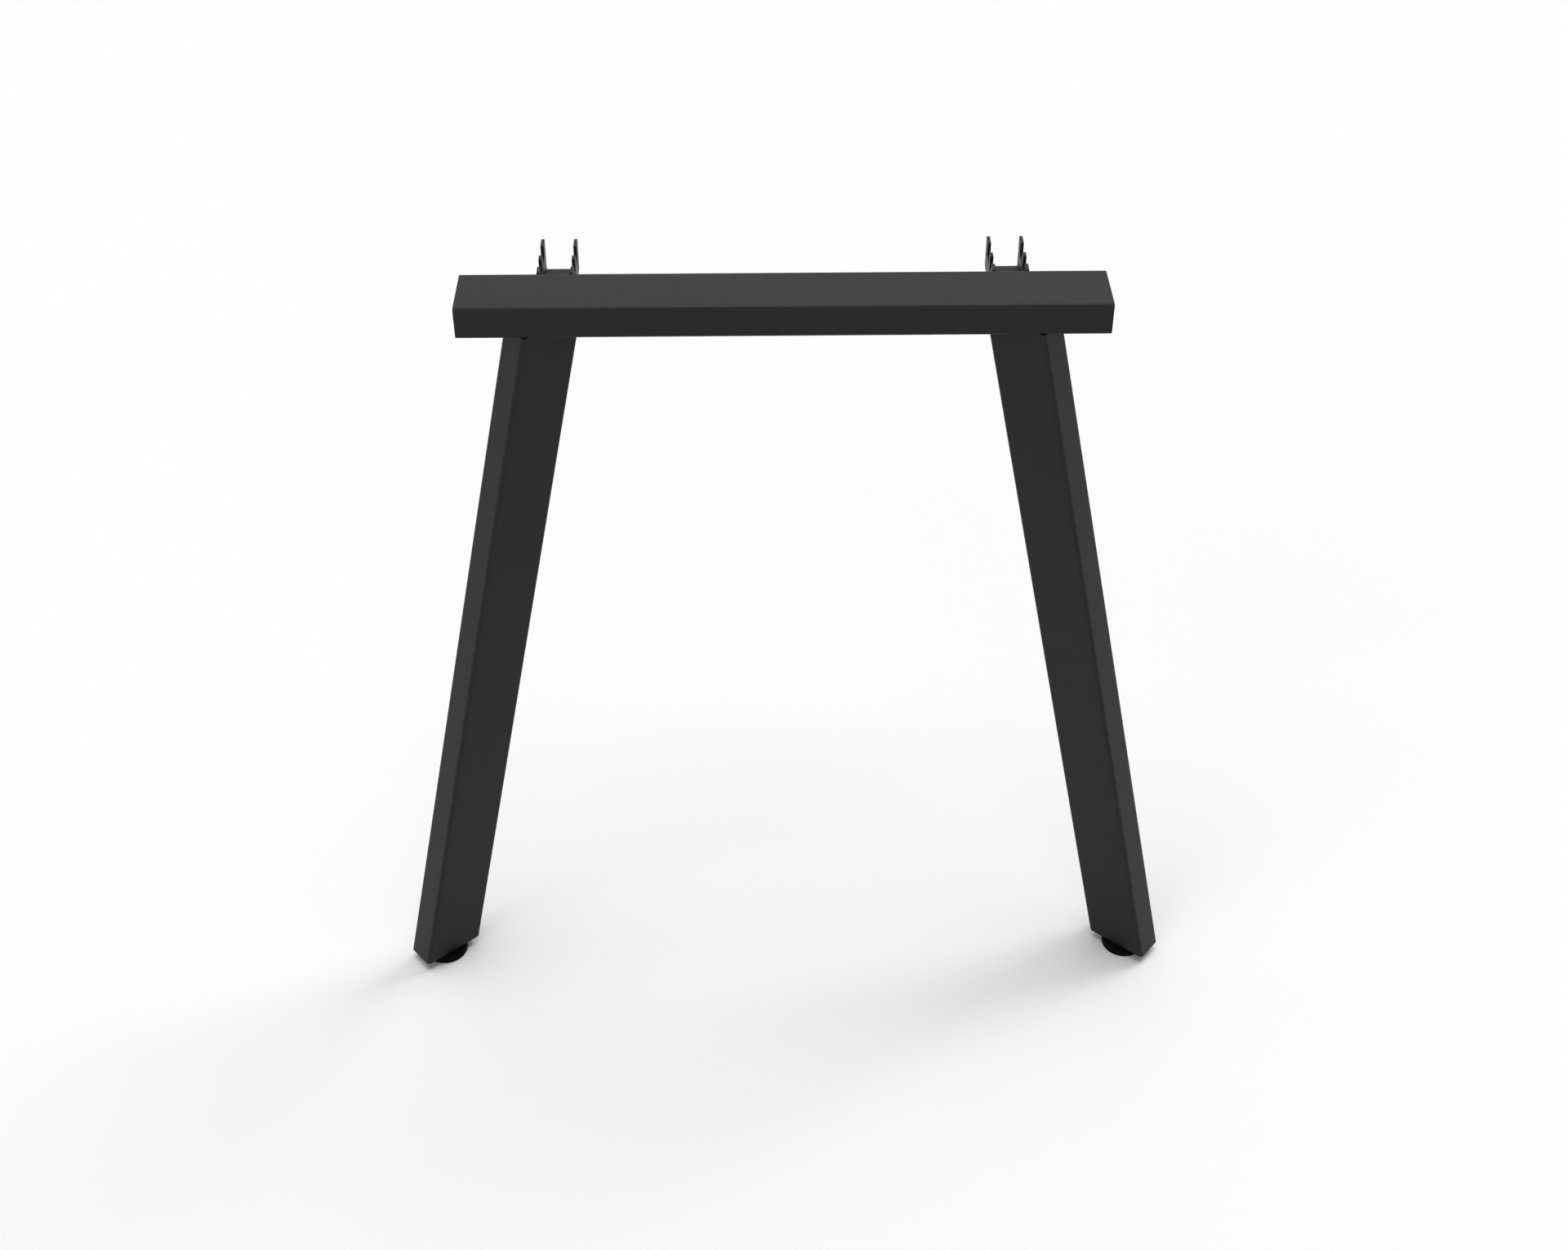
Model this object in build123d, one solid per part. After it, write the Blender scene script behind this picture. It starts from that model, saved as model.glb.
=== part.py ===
from build123d import *
import math
import os

# End frame of a desk: a flat top rail, two splayed legs, levelling feet and two hook
# brackets that a pair of cross beams drops into.
# Millimetres. The origin is the centre of the rail's top face, +X runs along the rail,
# +Y points to the brackets under the desk and +Z is up.

# Rectangular steel tube, the same for the rail and both legs
TUBE_WIDTH = 60.0
TUBE_HEIGHT = 30.0
TUBE_WALL = 2.0
TUBE_CORNER = 3.5  # outside radius
LEAST_CORNER = 0.3  # for outlines drawn in past the corner radius

# Overall frame
RAIL_LENGTH = 560.0
FRAME_HEIGHT = 694.0
LEG_SPACING = 416.0  # between the legs' centres where they meet the rail
LEG_LEAN = 15.0  # degrees from upright, in the plane of the leg's wide side
LEG_TURN = 40.0  # degrees from the rail to that plane, seen from above

# Hook brackets, folded from sheet
BRACKET_SPACING = 395.0
BRACKET_SHEET = 3.0
BRACKET_BEND = 1.0  # inside radius of the two folds
BRACKET_REACH = 60.0  # how far the bracket stands out behind the rail
CHANNEL_WIDTH = 26.0
CHANNEL_DEPTH = 30.0
ROOT_FINGER = 11.0
NEAR_SLOT = 12.5
MIDDLE_FINGER = 7.5
FAR_SLOT = 16.0
SLOT_DEPTH = 12.0

# Plastic plugs in the rail's ends
PLUG_GAP = 0.05  # between the plug and the tube's inner wall, each side
PLUG_FACE = 2.5
PLUG_DEPTH = 20.0
PLUG_BODY_INSET = 2.5  # the ribs' height over the plug's hollow body
PLUG_WALL = 1.8
PLUG_RIB = 1.2
PLUG_RIBS = 3

# Steel plate welded into each leg's lower end
END_PLATE = 3.0
END_PLATE_GAP = 0.1
STUD_HOLE_CLEARANCE = 0.5  # radial

# Levelling feet, a hexagon bolt moulded into a round pad
STUD_DIAMETER = 8.0
STUD_LENGTH = 32.0  # from the leg's level end upward, foot screwed home
STUD_CHAMFER = 1.0
THREAD_CLEARANCE = 0.05  # radial, the thread is left plain
HEX_ACROSS_FLATS = 13.0
HEX_CHAMFER = 30.0  # degrees, on the corners of the nut and the head
NUT_HEIGHT = 6.5
HEAD_HEIGHT = 5.3
HEAD_GAP = 0.05
PAD_DIAMETER = 42.0
PAD_THICKNESS = 8.0
PAD_TOP_CHAMFER = 0.8
PAD_BASE_CHAMFER = 0.5
BOSS_DIAMETER = 22.0
BOSS_HEIGHT = 1.0  # stops against the leg's end plate

# Places that follow from the sizes above
RAIL_UNDERSIDE = -TUBE_HEIGHT
RAIL_BACK = TUBE_WIDTH / 2
FLOOR = -FRAME_HEIGHT
LEG_END = FLOOR + PAD_THICKNESS + BOSS_HEIGHT
LEG_DROP = RAIL_UNDERSIDE - LEG_END

SIDES = {"left": -1, "right": 1}


def tube_outline(inset):
    """The tube's rounded section, drawn in by the inset all round."""
    corner = max(TUBE_CORNER - inset, LEAST_CORNER)
    return RectangleRounded(TUBE_WIDTH - 2 * inset, TUBE_HEIGHT - 2 * inset, corner)


def across_rail(x):
    """A plane square to the rail at x, its own x axis along the tube's width."""
    return Plane(origin=(x, 0, RAIL_UNDERSIDE / 2), x_dir=(0, 1, 0), z_dir=(1, 0, 0))


def level_slab(low, high):
    """A block wide enough to cut the whole frame level at two heights."""
    reach = 2 * (RAIL_LENGTH + FRAME_HEIGHT)
    return Pos(0, 0, (low + high) / 2) * Box(reach, reach, high - low)


def upright_cylinder(diameter, height):
    """A cylinder standing on z = 0."""
    return Cylinder(diameter / 2, height, align=(Align.CENTER, Align.CENTER, Align.MIN))


def hexagon(across_flats):
    return RegularPolygon(across_flats / 2, 6, major_radius=False)


def hexagon_bar(height):
    """A bolt's hexagon standing on z = 0, its top corners turned off to a cone."""
    bar = extrude(hexagon(HEX_ACROSS_FLATS), height)
    across_corners = HEX_ACROSS_FLATS / math.cos(math.radians(30))
    turned_off = (across_corners - HEX_ACROSS_FLATS) / 2
    blank = upright_cylinder(across_corners, height)
    top_edge = blank.edges().group_by(Axis.Z)[-1]
    return bar & chamfer(top_edge, turned_off * math.tan(math.radians(HEX_CHAMFER)), turned_off)


# Top rail
def top_rail():
    section = tube_outline(0) - tube_outline(TUBE_WALL)
    return extrude(across_rail(-RAIL_LENGTH / 2) * section, RAIL_LENGTH)


# Rail plugs: a flush face, and a hollow body with ribs that grip the tube
def rail_plug(side):
    end = side * RAIL_LENGTH / 2
    inward = -side

    def slice_of(outline, start, thickness):
        """The outline as a slab, from start to start plus thickness inside the rail's end."""
        low = min(end + inward * start, end + inward * (start + thickness))
        return extrude(across_rail(low) * outline, thickness)

    snug = tube_outline(TUBE_WALL + PLUG_GAP)
    body = tube_outline(TUBE_WALL + PLUG_GAP + PLUG_BODY_INSET)
    hollow = tube_outline(TUBE_WALL + PLUG_GAP + PLUG_BODY_INSET + PLUG_WALL)
    plug = slice_of(snug, 0, PLUG_FACE)
    plug += slice_of(body - hollow, PLUG_FACE, PLUG_DEPTH - PLUG_FACE)
    rib_pitch = (PLUG_DEPTH - PLUG_FACE) / PLUG_RIBS
    for i in range(PLUG_RIBS):
        start = PLUG_FACE + (i + 1) * rib_pitch - PLUG_RIB
        plug += slice_of(snug - hollow, start, PLUG_RIB)
    return plug


# Legs
def leg_top_y():
    """Where the legs' axes meet the rail: their back corners end flush with its back."""
    along = math.sin(math.radians(LEG_TURN)) / math.cos(math.radians(LEG_LEAN))
    across = math.cos(math.radians(LEG_TURN))
    flats = (TUBE_WIDTH / 2 - TUBE_CORNER) * along + (TUBE_HEIGHT / 2 - TUBE_CORNER) * across
    return RAIL_BACK - flats - TUBE_CORNER * math.hypot(along, across)


def leg_plane(side):
    """A plane square to the leg's axis where the axis meets the rail's underside.

    The plane's z axis runs down the leg and its x axis lies along the tube's wide side.
    """
    lean = math.radians(LEG_LEAN)
    turn = math.radians(LEG_TURN)
    outward = Vector(side * math.cos(turn), -math.sin(turn), 0)
    down_leg = outward * math.sin(lean) + Vector(0, 0, -math.cos(lean))
    wide_side = outward * math.cos(lean) + Vector(0, 0, math.sin(lean))
    top_centre = (side * LEG_SPACING / 2, leg_top_y(), RAIL_UNDERSIDE)
    return Plane(origin=top_centre, x_dir=wide_side, z_dir=down_leg)


def leg_end_centre(side):
    """The middle of the leg's lower end, where the foot's axis stands."""
    run = LEG_DROP * math.tan(math.radians(LEG_LEAN))
    x = side * (LEG_SPACING / 2 + run * math.cos(math.radians(LEG_TURN)))
    y = leg_top_y() - run * math.sin(math.radians(LEG_TURN))
    return Pos(x, y, LEG_END)


def along_leg(side, section, low, high):
    """The section run down the leg and cut off level at two heights."""
    spare = TUBE_WIDTH
    length = LEG_DROP / math.cos(math.radians(LEG_LEAN)) + 2 * spare
    start = leg_plane(side).offset(-spare)
    return extrude(start * section, length) & level_slab(low, high)


def leg(side):
    section = tube_outline(0) - tube_outline(TUBE_WALL)
    return along_leg(side, section, LEG_END, RAIL_UNDERSIDE)


def leg_end_plate(side):
    section = tube_outline(TUBE_WALL + END_PLATE_GAP)
    plate = along_leg(side, section, LEG_END, LEG_END + END_PLATE)
    hole = Cylinder(STUD_DIAMETER / 2 + STUD_HOLE_CLEARANCE, 4 * END_PLATE)
    return plate - leg_end_centre(side) * hole


# Levelling feet
def foot_nut(side):
    bore = Cylinder(STUD_DIAMETER / 2 + THREAD_CLEARANCE, 4 * NUT_HEIGHT)
    return leg_end_centre(side) * Pos(0, 0, END_PLATE) * (hexagon_bar(NUT_HEIGHT) - bore)


def foot_stud(side):
    shank = upright_cylinder(STUD_DIAMETER, STUD_LENGTH)
    shank = chamfer(shank.edges().group_by(Axis.Z)[-1], STUD_CHAMFER)
    head = mirror(hexagon_bar(HEAD_HEIGHT), about=Plane.XY)
    return leg_end_centre(side) * (shank + head)


def foot_pad(side):
    """A round pad whose low boss meets the end plate, with the stud's head sunk in it."""
    disc = upright_cylinder(PAD_DIAMETER, PAD_THICKNESS)
    disc = chamfer(disc.edges().group_by(Axis.Z)[-1], PAD_TOP_CHAMFER)
    disc = chamfer(disc.edges().group_by(Axis.Z)[0], PAD_BASE_CHAMFER)
    boss = upright_cylinder(BOSS_DIAMETER, PAD_THICKNESS + BOSS_HEIGHT)
    pocket = extrude(hexagon(HEX_ACROSS_FLATS + 2 * HEAD_GAP), -HEAD_HEIGHT)
    pad = Pos(0, 0, FLOOR - LEG_END) * (disc + boss) - pocket
    return leg_end_centre(side) * pad


# Hook brackets: a U channel behind the rail with two slots across both side plates
def channel_profile(width, depth, bend):
    """A U filled in: open side up at the rail's top, its two lower corners rounded."""
    with BuildLine(Plane.XZ) as outline:
        FilletPolyline(
            (-width / 2, 0),
            (-width / 2, -depth),
            (width / 2, -depth),
            (width / 2, 0),
            radius=bend,
        )
        Line(outline.line @ 1, outline.line @ 0)
    return make_face(outline.line)


def hook_bracket(side):
    outer_width = CHANNEL_WIDTH + 2 * BRACKET_SHEET
    outer_depth = CHANNEL_DEPTH + BRACKET_SHEET
    outside = channel_profile(outer_width, outer_depth, BRACKET_BEND + BRACKET_SHEET)
    inside = channel_profile(CHANNEL_WIDTH, CHANNEL_DEPTH, BRACKET_BEND)
    bracket = extrude(outside - inside, -BRACKET_REACH)
    far_slot_start = ROOT_FINGER + NEAR_SLOT + MIDDLE_FINGER
    for start, width in ((ROOT_FINGER, NEAR_SLOT), (far_slot_start, FAR_SLOT)):
        across = (Align.CENTER, Align.MIN, Align.CENTER)
        slot = Box(2 * outer_width, width, 2 * SLOT_DEPTH, align=across)
        bracket -= Pos(0, start, 0) * slot
    return Pos(side * BRACKET_SPACING / 2, RAIL_BACK, 0) * bracket


def write(shape, name):
    shape.label = name
    export_step(shape, f"parts/{name}.step")


os.makedirs("parts", exist_ok=True)
write(top_rail(), "top_rail")
for name, side in SIDES.items():
    write(leg(side), f"{name}_leg")
    write(hook_bracket(side), f"{name}_hook_bracket")
    write(rail_plug(side), f"{name}_rail_plug")
    write(leg_end_plate(side), f"{name}_leg_end_plate")
    write(foot_nut(side), f"{name}_foot_nut")
    write(foot_stud(side), f"{name}_foot_stud")
    write(foot_pad(side), f"{name}_foot_pad")
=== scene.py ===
import bpy
import bmesh
import math
from mathutils import Matrix, Vector


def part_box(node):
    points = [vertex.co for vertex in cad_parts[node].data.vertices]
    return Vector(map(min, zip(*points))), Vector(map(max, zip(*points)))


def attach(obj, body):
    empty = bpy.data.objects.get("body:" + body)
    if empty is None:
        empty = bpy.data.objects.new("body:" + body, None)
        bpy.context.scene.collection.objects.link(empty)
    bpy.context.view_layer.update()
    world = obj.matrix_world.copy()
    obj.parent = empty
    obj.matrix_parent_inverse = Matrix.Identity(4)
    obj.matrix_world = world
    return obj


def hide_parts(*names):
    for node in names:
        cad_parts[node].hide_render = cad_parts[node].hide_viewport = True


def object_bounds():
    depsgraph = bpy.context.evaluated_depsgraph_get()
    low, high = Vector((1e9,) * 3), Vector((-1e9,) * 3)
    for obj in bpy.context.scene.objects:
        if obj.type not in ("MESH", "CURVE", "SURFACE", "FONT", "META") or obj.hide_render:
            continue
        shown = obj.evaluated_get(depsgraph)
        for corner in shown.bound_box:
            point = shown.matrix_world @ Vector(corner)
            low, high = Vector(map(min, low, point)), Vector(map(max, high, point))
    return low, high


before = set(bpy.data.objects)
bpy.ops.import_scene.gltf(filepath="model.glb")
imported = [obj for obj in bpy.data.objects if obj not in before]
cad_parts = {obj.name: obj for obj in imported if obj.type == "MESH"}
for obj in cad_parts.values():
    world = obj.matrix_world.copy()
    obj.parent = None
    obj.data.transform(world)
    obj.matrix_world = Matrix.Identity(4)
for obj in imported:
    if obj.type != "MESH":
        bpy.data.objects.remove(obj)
cad_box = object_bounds()


# Top rail
# A length of 60 x 30 mm welded steel tube, sawn square and deburred, lying flat. The whole
# welded frame is blasted and powder coated together, in a satin black.
MM = 0.001
SAME_POINT = 0.001 * MM
FLAT_ANGLE = math.radians(0.3)
EDGE_ANGLE = math.radians(25)
SHADING_ANGLE = math.radians(40)
SAWN_EDGE = 0.35 * MM
POWDER_LIGHT = "212121"
POWDER_DARK = "1D1D1D"
POWDER_SPECK = 1.3 * MM
POWDER_PEEL = 3.5 * MM
POWDER_CLOUD = 60 * MM
NOISE_LOW = 0.3
NOISE_HIGH = 0.7


def eased_copy(node, name, edge, body, material):
    """A CAD node's mesh as a finished piece: its flats joined and its sharp edges rounded."""
    mesh = bmesh.new()
    mesh.from_mesh(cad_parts[node].data)
    bmesh.ops.remove_doubles(mesh, verts=mesh.verts, dist=SAME_POINT)
    bmesh.ops.dissolve_limit(mesh, angle_limit=FLAT_ANGLE, verts=mesh.verts, edges=mesh.edges)
    sharp = [e for e in mesh.edges if e.is_manifold and e.calc_face_angle() > EDGE_ANGLE]
    bmesh.ops.bevel(
        mesh,
        geom=sharp,
        offset=edge,
        offset_type="OFFSET",
        segments=3,
        profile=0.5,
        affect="EDGES",
        clamp_overlap=False,
        loop_slide=True,
    )
    finished_piece(mesh, name, body, material, [node])


def finished_piece(mesh, name, body, material, nodes):
    """Makes the bmesh a smooth-shaded object that stands for its CAD nodes and rides on a body."""
    data = bpy.data.meshes.new(name)
    mesh.to_mesh(data)
    mesh.free()
    data.shade_smooth()
    data.set_sharp_from_angle(angle=SHADING_ANGLE)
    data.materials.append(material)
    piece = bpy.data.objects.new(name, data)
    bpy.context.scene.collection.objects.link(piece)
    weigh = piece.modifiers.new("flat faces keep their normals", "WEIGHTED_NORMAL")
    weigh.weight = 100
    weigh.keep_sharp = True
    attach(piece, body)
    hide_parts(*nodes)


def hex_colour(code):
    """An sRGB hex value as the linear colour that a shader takes."""
    channels = [int(code[i:i + 2], 16) / 255 for i in (0, 2, 4)]
    linear = [c / 12.92 if c <= 0.04045 else ((c + 0.055) / 1.055) ** 2.4 for c in channels]
    return (*linear, 1)


def add_node(owner, kind, inputs=(), **settings):
    """Adds a node. Settings are its own; inputs are values, or the sockets that feed it."""
    node = owner.node_tree.nodes.new("ShaderNode" + kind)
    for name, value in settings.items():
        setattr(node, name, value)
    for name, value in dict(inputs).items():
        if isinstance(value, bpy.types.NodeSocket):
            owner.node_tree.links.new(value, node.inputs[name])
        else:
            node.inputs[name].default_value = value
    return node


def new_material(name):
    """An empty node material."""
    material = bpy.data.materials.new(name)
    material.use_nodes = True
    material.node_tree.nodes.clear()
    return material


def two_tones(owner, driver, dark_at, dark, light_at, light):
    """A colour ramp between two sRGB hex values, driven by a socket."""
    ramp = add_node(owner, "ValToRGB", {"Fac": driver})
    dark_end, light_end = ramp.color_ramp.elements
    dark_end.position = dark_at
    dark_end.color = hex_colour(dark)
    light_end.position = light_at
    light_end.color = hex_colour(light)
    return ramp


def uneven_roughness(owner, noise, low, high):
    """The middle of a noise's range carried over to a roughness from low to high."""
    return add_node(
        owner, "MapRange",
        {
            "Value": noise.outputs["Fac"],
            "From Min": NOISE_LOW,
            "From Max": NOISE_HIGH,
            "To Min": low,
            "To Max": high,
        },
    )


# Satin polyester powder coat on steel: near black, with a soft sheen that only shows along
# edges and at a glancing angle, a faint speckle from the powder and a long low orange peel
powder_coat = new_material("satin black powder coat on steel")
place = add_node(powder_coat, "TexCoord").outputs["Object"]
cloud = add_node(
    powder_coat, "TexNoise", {"Vector": place, "Scale": 1 / POWDER_CLOUD, "Detail": 2.0}
)
speck = add_node(
    powder_coat, "TexNoise",
    {"Vector": place, "Scale": 1 / POWDER_SPECK, "Detail": 1.5, "Roughness": 0.6},
)
peel = add_node(
    powder_coat, "TexNoise", {"Vector": place, "Scale": 1 / POWDER_PEEL, "Detail": 0.0}
)
tone = add_node(
    powder_coat, "Math", {0: cloud.outputs["Fac"], 1: speck.outputs["Fac"]},
    operation="MULTIPLY",
)
shade = two_tones(powder_coat, tone.outputs["Value"], 0.12, POWDER_DARK, 0.40, POWDER_LIGHT)
satin = uneven_roughness(powder_coat, speck, 0.47, 0.53)
waves = add_node(
    powder_coat, "Bump", {"Height": peel.outputs["Fac"], "Strength": 0.5, "Distance": 0.03 * MM}
)
grit = add_node(
    powder_coat, "Bump",
    {
        "Height": speck.outputs["Fac"],
        "Strength": 0.5,
        "Distance": 0.02 * MM,
        "Normal": waves.outputs["Normal"],
    },
)
coat = add_node(
    powder_coat, "BsdfPrincipled",
    {
        "Base Color": shade.outputs["Color"],
        "Roughness": satin.outputs["Result"],
        "Normal": grit.outputs["Normal"],
        "IOR": 1.5,
        "Specular IOR Level": 0.25,
        "Metallic": 0.0,
    },
)
add_node(powder_coat, "OutputMaterial", {"Surface": coat.outputs["BSDF"]})

eased_copy("top_rail", "rail_tube", SAWN_EDGE, "frame", powder_coat)


# Legs
# The same tube, both ends sawn level at a compound angle, so the leg leans out along its
# wide side while that side is turned 40 degrees from the rail. Welded under the rail.
for side in ("left", "right"):
    eased_copy(
        f"{side}_leg", f"{side}_leg_tube", SAWN_EDGE, "frame", powder_coat
    )


# Hook brackets
# Laser cut 3 mm steel sheet folded to a U, with two slots across both side plates that
# leave three fingers each. The coat rounds the cut edges over. Welded to the rail's back.
CUT_EDGE = 0.3 * MM
for side in ("left", "right"):
    eased_copy(
        f"{side}_hook_bracket", f"{side}_bracket_channel", CUT_EDGE,
        "frame", powder_coat,
    )


# Weld beads
# Fillet welds laid before the frame is coated, all on sides that the photograph hides: under
# the rail along the back and the inner side of each leg, and down the root of each bracket.
WELD_SIZE = 3.0 * MM
WELD_SUNK = 0.15 * MM
WELD_BULGE = 0.35
WELD_END_SHARE = 0.35
WELD_RIPPLE = 1.7 * MM
WELD_RIPPLE_DEPTH = 0.05
RIPPLE_TRAIL = 0.5
RINGS_PER_RIPPLE = 7
FACE_STEPS = 6
TUBE_WIDTH = 60 * MM
TUBE_HEIGHT = 30 * MM
LEG_LEAN = math.radians(15)
LEG_TURN = math.radians(40)
LEG_TOP_X = 208 * MM
BRACKET_X = 197.5 * MM
BRACKET_PLATE_OUT = 16 * MM  # a plate's outer face, from the bracket's middle
BACK_BEAD = (-18 * MM, 26 * MM)  # from one end to the other, outward from the leg's middle
INNER_BEAD = (-10 * MM, 3 * MM)  # backward from the leg's middle
ROOT_BEAD = (-6 * MM, -25 * MM)  # upward from the rail's top


def weld_bead(mesh, start, end, along_one, along_other):
    """A rippled fillet from start to end between two faces, given each face's way out."""
    seam = end - start
    length = seam.length
    steps = round(length / WELD_RIPPLE * RINGS_PER_RIPPLE)
    sunk = -WELD_SUNK * (along_one + along_other)
    rings = []
    for i in range(steps + 1):
        run = i / steps * length
        from_end = min(run, length - run, WELD_SIZE) / WELD_SIZE
        rounded = math.sqrt(1 - (1 - from_end) ** 2)
        size = WELD_SIZE * (WELD_END_SHARE + (1 - WELD_END_SHARE) * rounded)
        foot = start + seam * (i / steps) + sunk
        ring = [mesh.verts.new(foot)]
        for k in range(FACE_STEPS + 1):
            swing = k / FACE_STEPS * math.pi / 2
            one, other = math.cos(swing), math.sin(swing)
            flat = 1 / (one + other)
            trail = run - RIPPLE_TRAIL * WELD_SIZE * math.sin(2 * swing)
            ripple = 1 + WELD_RIPPLE_DEPTH * math.cos(2 * math.pi * trail / WELD_RIPPLE)
            reach = size * (flat + WELD_BULGE * (1 - flat)) * ripple
            ring.append(mesh.verts.new(foot + reach * (one * along_one + other * along_other)))
        rings.append(ring)
    count = FACE_STEPS + 2
    for low, high in zip(rings, rings[1:]):
        for k in range(count):
            mesh.faces.new((low[k], low[(k + 1) % count], high[(k + 1) % count], high[k]))
    mesh.faces.new(rings[0])
    mesh.faces.new(rings[-1])


rail_low, rail_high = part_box("top_rail")
for side, way in (("left", -1), ("right", 1)):
    outward = Vector((way * math.cos(LEG_TURN), -math.sin(LEG_TURN), 0))
    backward = Vector((way * math.sin(LEG_TURN), math.cos(LEG_TURN), 0))
    down_leg = outward * math.sin(LEG_LEAN) - Vector((0, 0, math.cos(LEG_LEAN)))
    leg_top = Vector((way * LEG_TOP_X, 0, rail_low.z))
    half_width = TUBE_WIDTH / 2 / math.cos(LEG_LEAN)
    mesh = bmesh.new()
    back_seam = leg_top + backward * TUBE_HEIGHT / 2
    start, end = (back_seam + along * outward for along in BACK_BEAD)
    weld_bead(mesh, start, end, down_leg, backward)
    inner_seam = leg_top - outward * half_width
    start, end = (inner_seam + along * backward for along in INNER_BEAD)
    weld_bead(mesh, start, end, down_leg, -outward)
    bmesh.ops.recalc_face_normals(mesh, faces=mesh.faces)
    finished_piece(
        mesh, f"{side}_leg_weld", "frame", powder_coat, []
    )

    mesh = bmesh.new()
    for apart in (-1, 1):
        plate_x = BRACKET_X + apart * BRACKET_PLATE_OUT
        root = Vector((way * plate_x, rail_high.y, 0))
        start, end = (root + Vector((0, 0, along)) for along in ROOT_BEAD)
        weld_bead(mesh, start, end, Vector((0, 1, 0)), Vector((way * apart, 0, 0)))
    bmesh.ops.recalc_face_normals(mesh, faces=mesh.faces)
    finished_piece(
        mesh, f"{side}_bracket_weld", "frame", powder_coat, []
    )


# Leg end plates
# 3 mm steel plates welded into the legs' lower ends, flush with the cut, each with a hole
# for the foot's stud.
PLATE_EDGE = 0.2 * MM
for side in ("left", "right"):
    eased_copy(
        f"{side}_leg_end_plate", f"{side}_end_plate", PLATE_EDGE,
        "frame", powder_coat,
    )


# Rail plugs
# Injection moulded polypropylene plugs pushed into the rail's open ends until the face is
# flush, held by three ribs that grip the tube's inner wall.
PLUG_EDGE = 0.4 * MM
EROSION_GRAIN = 0.6 * MM
PLASTIC_FLOW = 20 * MM

# Polypropylene from a spark-eroded mould: an even fine grain that breaks the reflections up,
# a shade blacker and duller than the coat round it
plug_plastic = new_material("black polypropylene, spark-eroded grain")
place = add_node(plug_plastic, "TexCoord").outputs["Object"]
erosion = add_node(
    plug_plastic, "TexNoise", {"Vector": place, "Scale": 1 / EROSION_GRAIN, "Detail": 2.0}
)
flow = add_node(
    plug_plastic, "TexNoise", {"Vector": place, "Scale": 1 / PLASTIC_FLOW, "Detail": 1.0}
)
shade = two_tones(plug_plastic, flow.outputs["Fac"], 0.3, "131314", 0.7, "171718")
dull = uneven_roughness(plug_plastic, erosion, 0.52, 0.62)
pits = add_node(
    plug_plastic, "Bump",
    {"Height": erosion.outputs["Fac"], "Strength": 0.6, "Distance": 0.03 * MM},
)
plastic = add_node(
    plug_plastic, "BsdfPrincipled",
    {
        "Base Color": shade.outputs["Color"],
        "Roughness": dull.outputs["Result"],
        "Normal": pits.outputs["Normal"],
        "IOR": 1.49,
        "Specular IOR Level": 0.25,
        "Metallic": 0.0,
    },
)
add_node(plug_plastic, "OutputMaterial", {"Surface": plastic.outputs["BSDF"]})

for side in ("left", "right"):
    eased_copy(
        f"{side}_rail_plug", f"{side}_end_plug", PLUG_EDGE, "frame", plug_plastic
    )


# Foot nuts
# M8 hexagon weld nuts inside the legs, on the end plates.
NUT_EDGE = 0.15 * MM
ZINC_CLOUD = 4 * MM
ZINC_SCRATCH = 0.5 * MM

# Bright zinc plating on steel: a clear metal with a cool cast, slightly uneven from the bath
zinc = new_material("bright zinc plated steel")
place = add_node(zinc, "TexCoord").outputs["Object"]
bath = add_node(zinc, "TexNoise", {"Vector": place, "Scale": 1 / ZINC_CLOUD, "Detail": 2.0})
scratch = add_node(zinc, "TexNoise", {"Vector": place, "Scale": 1 / ZINC_SCRATCH, "Detail": 1.0})
shade = two_tones(zinc, bath.outputs["Fac"], 0.35, "B4B9BE", 0.65, "C9CCCE")
bright = uneven_roughness(zinc, bath, 0.24, 0.36)
marks = add_node(
    zinc, "Bump", {"Height": scratch.outputs["Fac"], "Strength": 0.3, "Distance": 0.01 * MM}
)
plating = add_node(
    zinc, "BsdfPrincipled",
    {
        "Base Color": shade.outputs["Color"],
        "Roughness": bright.outputs["Result"],
        "Normal": marks.outputs["Normal"],
        "Metallic": 1.0,
    },
)
add_node(zinc, "OutputMaterial", {"Surface": plating.outputs["BSDF"]})

for side in ("left", "right"):
    eased_copy(
        f"{side}_foot_nut", f"{side}_weld_nut", NUT_EDGE, "frame", zinc
    )


# Foot studs
# Rolled M8 x 1.25 hexagon bolts, head down in the pads, threaded from the pad upward. Only
# the thread shows, and only when a foot is screwed out.
STUD_RADIUS = 4 * MM
THREAD_PITCH = 1.25 * MM
THREAD_DEPTH = 0.767 * MM
THREAD_CREST = 0.16  # as a share of the pitch, like the root
THREAD_ROOT = 0.20
HEAD_HEIGHT = 5.3 * MM
HEAD_FLATS = 13 * MM
POINT_CHAMFER = 1.0 * MM
ROUND_STEPS = 48
PITCH_STEPS = 10


def thread_reach(turns):
    """How far the thread stands out of its root at a place along it, from 0 to 1."""
    phase = turns % 1
    flank = (1 - THREAD_CREST - THREAD_ROOT) / 2
    if phase < flank:
        return phase / flank
    if phase < flank + THREAD_CREST:
        return 1
    if phase < 2 * flank + THREAD_CREST:
        return (2 * flank + THREAD_CREST - phase) / flank
    return 0


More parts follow.
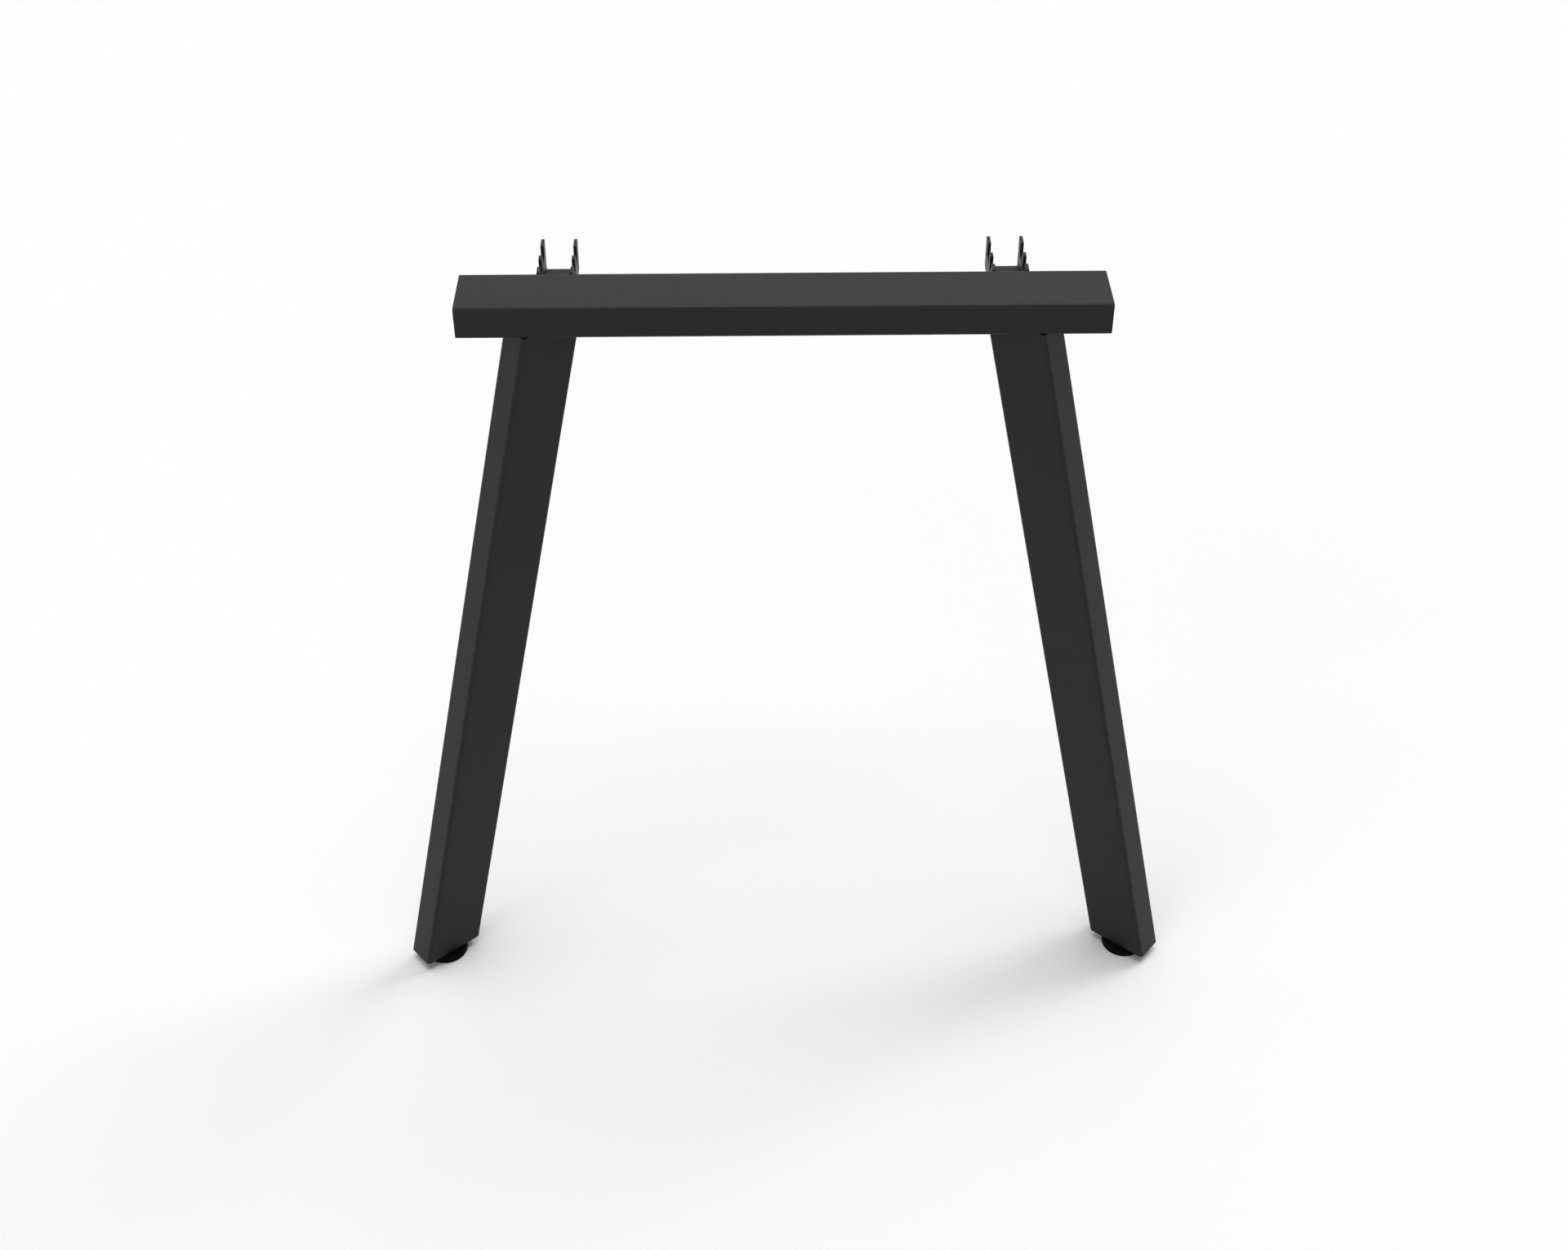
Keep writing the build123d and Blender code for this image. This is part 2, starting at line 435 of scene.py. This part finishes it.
def threaded_stud(side):
    """A bolt in its CAD box: the thread as one skin wound up from the head, and the head."""
    low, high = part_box(f"{side}_foot_stud")
    centre = (low + high) / 2
    shoulder = low.z + HEAD_HEIGHT
    mesh = bmesh.new()
    rows = math.ceil((high.z - shoulder) / THREAD_PITCH * PITCH_STEPS) + PITCH_STEPS
    rings = []
    for j in range(rows + 1):
        ring = []
        for i in range(ROUND_STEPS):
            turn = i / ROUND_STEPS
            rise = (j / PITCH_STEPS - 1 + turn) * THREAD_PITCH
            z = min(max(shoulder + rise, shoulder), high.z)
            reach = STUD_RADIUS - THREAD_DEPTH * (1 - thread_reach(j / PITCH_STEPS))
            reach = min(reach, STUD_RADIUS - POINT_CHAMFER + (high.z - z))
            reach = min(reach, STUD_RADIUS - THREAD_DEPTH + (z - shoulder))
            angle = 2 * math.pi * turn
            x = centre.x + reach * math.cos(angle)
            y = centre.y + reach * math.sin(angle)
            ring.append(mesh.verts.new((x, y, z)))
        rings.append(ring)
    for j in range(rows):
        for i in range(ROUND_STEPS - 1):
            mesh.faces.new((rings[j][i], rings[j][i + 1], rings[j + 1][i + 1], rings[j + 1][i]))
        if j + PITCH_STEPS + 1 <= rows:
            last, first = rings[j], rings[j + PITCH_STEPS]
            above = rings[j + PITCH_STEPS + 1]
            mesh.faces.new((last[-1], first[0], above[0], rings[j + 1][-1]))
    bmesh.ops.remove_doubles(mesh, verts=mesh.verts, dist=SAME_POINT)
    bmesh.ops.dissolve_degenerate(mesh, edges=mesh.edges, dist=SAME_POINT)
    bmesh.ops.holes_fill(mesh, edges=[e for e in mesh.edges if e.is_boundary])
    corner_radius = HEAD_FLATS / 2 / math.cos(math.radians(30))
    bmesh.ops.create_cone(
        mesh,
        cap_ends=True,
        segments=6,
        radius1=corner_radius,
        radius2=corner_radius,
        depth=HEAD_HEIGHT,
        matrix=Matrix.Translation((centre.x, centre.y, low.z + HEAD_HEIGHT / 2)),
    )
    return mesh


for side in ("left", "right"):
    finished_piece(
        threaded_stud(side), f"{side}_threaded_stud", f"{side}_foot",
        zinc, [f"{side}_foot_stud"],
    )


# Foot pads
# Round glass-filled polyamide pads moulded round the bolts' heads, 42 mm across.
PAD_EDGE = 0.35 * MM
PAD_GRAIN = 0.8 * MM

# Moulded polyamide with carbon black: the deepest black on the object, dull and even, with
# the mould's fine grain
pad_plastic = new_material("black polyamide, matt moulded")
place = add_node(pad_plastic, "TexCoord").outputs["Object"]
grain = add_node(
    pad_plastic, "TexNoise", {"Vector": place, "Scale": 1 / PAD_GRAIN, "Detail": 2.0}
)
shade = two_tones(pad_plastic, grain.outputs["Fac"], 0.35, "050505", 0.65, "080808")
matt = uneven_roughness(pad_plastic, grain, 0.75, 0.85)
pits = add_node(
    pad_plastic, "Bump", {"Height": grain.outputs["Fac"], "Strength": 0.6, "Distance": 0.03 * MM}
)
nylon = add_node(
    pad_plastic, "BsdfPrincipled",
    {
        "Base Color": shade.outputs["Color"],
        "Roughness": matt.outputs["Result"],
        "Normal": pits.outputs["Normal"],
        "IOR": 1.5,
        "Specular IOR Level": 0.06,
        "Metallic": 0.0,
    },
)
add_node(pad_plastic, "OutputMaterial", {"Surface": nylon.outputs["BSDF"]})

for side in ("left", "right"):
    eased_copy(
        f"{side}_foot_pad", f"{side}_pad", PAD_EDGE, f"{side}_foot", pad_plastic
    )


# Floor
# A white studio floor at the pads' undersides that runs far past the view. It is seen from
# above only, and keeps the shadow.
FLOOR_REACH = 12.0
FLOOR_SIDES = 96
FLOOR_SEEN = "F9F9F9"
FLOOR_BOUNCE = "595959"


def larger(owner, one, other):
    """The larger of two sockets' values."""
    return add_node(owner, "Math", {0: one, 1: other}, operation="MAXIMUM").outputs["Value"]


# Matt white paint, nearly white where it is looked at or mirrored. The light that it throws
# back up onto the object is that of a much greyer floor
floor_paint = new_material("matt white studio floor")
path = add_node(floor_paint, "LightPath")
looked_at = larger(floor_paint, path.outputs["Is Camera Ray"], path.outputs["Is Glossy Ray"])
looked_at = larger(floor_paint, looked_at, path.outputs["Is Transmission Ray"])
bounce = add_node(floor_paint, "BsdfDiffuse", {"Color": hex_colour(FLOOR_BOUNCE)})
white = add_node(floor_paint, "BsdfDiffuse", {"Color": hex_colour(FLOOR_SEEN)})
topside = add_node(
    floor_paint, "MixShader",
    {0: looked_at, 1: bounce.outputs["BSDF"], 2: white.outputs["BSDF"]},
)
beneath = add_node(floor_paint, "BsdfTransparent")
one_sided = add_node(
    floor_paint, "MixShader",
    {
        0: add_node(floor_paint, "NewGeometry").outputs["Backfacing"],
        1: topside.outputs["Shader"],
        2: beneath.outputs["BSDF"],
    },
)
add_node(floor_paint, "OutputMaterial", {"Surface": one_sided.outputs["Shader"]})

mesh = bmesh.new()
bmesh.ops.create_circle(
    mesh, cap_ends=True, segments=FLOOR_SIDES, radius=FLOOR_REACH,
    matrix=Matrix.Translation((0, 0, cad_box[0].z)),
)
data = bpy.data.meshes.new("studio_floor")
mesh.to_mesh(data)
mesh.free()
floor = bpy.data.objects.new("studio_floor", data)
bpy.context.scene.collection.objects.link(floor)
floor.data.materials.append(floor_paint)


# Lights
# Softboxes so far off that each lights the whole floor evenly: the key high to the right
# behind the frame, one straight overhead, and weaker ones round them that fill the shadows.
LAMP_DISTANCE = 3  # metres, only to keep the lamps apart: a distant light has no place


def softbox(name, azimuth, elevation, spread, strength):
    """A distant light, spread degrees across. Azimuth 0 is behind the camera, 90 to the right."""
    a = math.radians(azimuth)
    e = math.radians(elevation)
    toward = Vector((math.sin(a) * math.cos(e), -math.cos(a) * math.cos(e), math.sin(e)))
    lamp = bpy.data.lights.new(name, "SUN")
    lamp.angle = math.radians(spread)
    lamp.energy = strength
    box = bpy.data.objects.new(name, lamp)
    box.location = LAMP_DISTANCE * toward
    box.rotation_mode = "QUATERNION"
    box.rotation_quaternion = toward.to_track_quat("Z", "Y")
    bpy.context.scene.collection.objects.link(box)


softbox("key", 129, 49, 20, 0.672)
softbox("overhead", 0, 90, 40, 0.903)
softbox("high right", 90, 65, 40, 0.222)
softbox("high back", 180, 65, 40, 0.671)
softbox("high left", 270, 65, 40, 0.354)
softbox("low front", 0, 30, 40, 0.300)
softbox("low back right", 135, 30, 40, 0.445)
softbox("low back left", 225, 30, 40, 0.197)
softbox("low back", 180, 30, 40, 0.089)
softbox("low front left", 315, 30, 40, 0.483)

# White all round for the camera and through glass. Reflections see white walls, which fade
# from 20 to 40 degrees up into a dark ceiling. No diffuse ray is lit by it, so it isn't
# sampled as a lamp
WALL_TOP = math.sin(math.radians(20))
CEILING = math.sin(math.radians(40))
room = bpy.data.worlds.new("studio room")
room.use_nodes = True
room.node_tree.nodes.clear()
room.cycles.sampling_method = "NONE"
path = add_node(room, "LightPath")
upward = add_node(
    room, "SeparateXYZ", {"Vector": add_node(room, "TexCoord").outputs["Generated"]}
)
wall = add_node(
    room, "MapRange",
    {
        "Value": upward.outputs["Z"],
        "From Min": WALL_TOP,
        "From Max": CEILING,
        "To Min": 1.0,
        "To Max": 0.0,
    },
)
reflected = add_node(
    room, "Math",
    {0: path.outputs["Is Glossy Ray"], 1: wall.outputs["Result"]}, operation="MULTIPLY",
)
looked_at = larger(room, path.outputs["Is Camera Ray"], path.outputs["Is Transmission Ray"])
looked_at = larger(room, looked_at, reflected.outputs["Value"])
white = add_node(room, "Background", {"Color": (1, 1, 1, 1), "Strength": looked_at})
add_node(room, "OutputWorld", {"Surface": white.outputs["Background"]})
bpy.context.scene.world = room


# Camera
# A 50 mm lens a little above and in front of the rail's middle, looking down at the frame.
# Its place and tilt were solved from the object's straight edges in the photograph.
camera_data = bpy.data.cameras.new("camera")
camera_data.lens = 50
camera_data.sensor_width = 36
camera = bpy.data.objects.new("camera", camera_data)
camera.location = (-0.02189, -1.63119, 0.94201)
camera.rotation_euler = (math.radians(51.2176), 0, math.radians(-0.7816))
bpy.context.scene.collection.objects.link(camera)
bpy.context.scene.camera = camera
bpy.context.scene.view_settings.view_transform = "Standard"
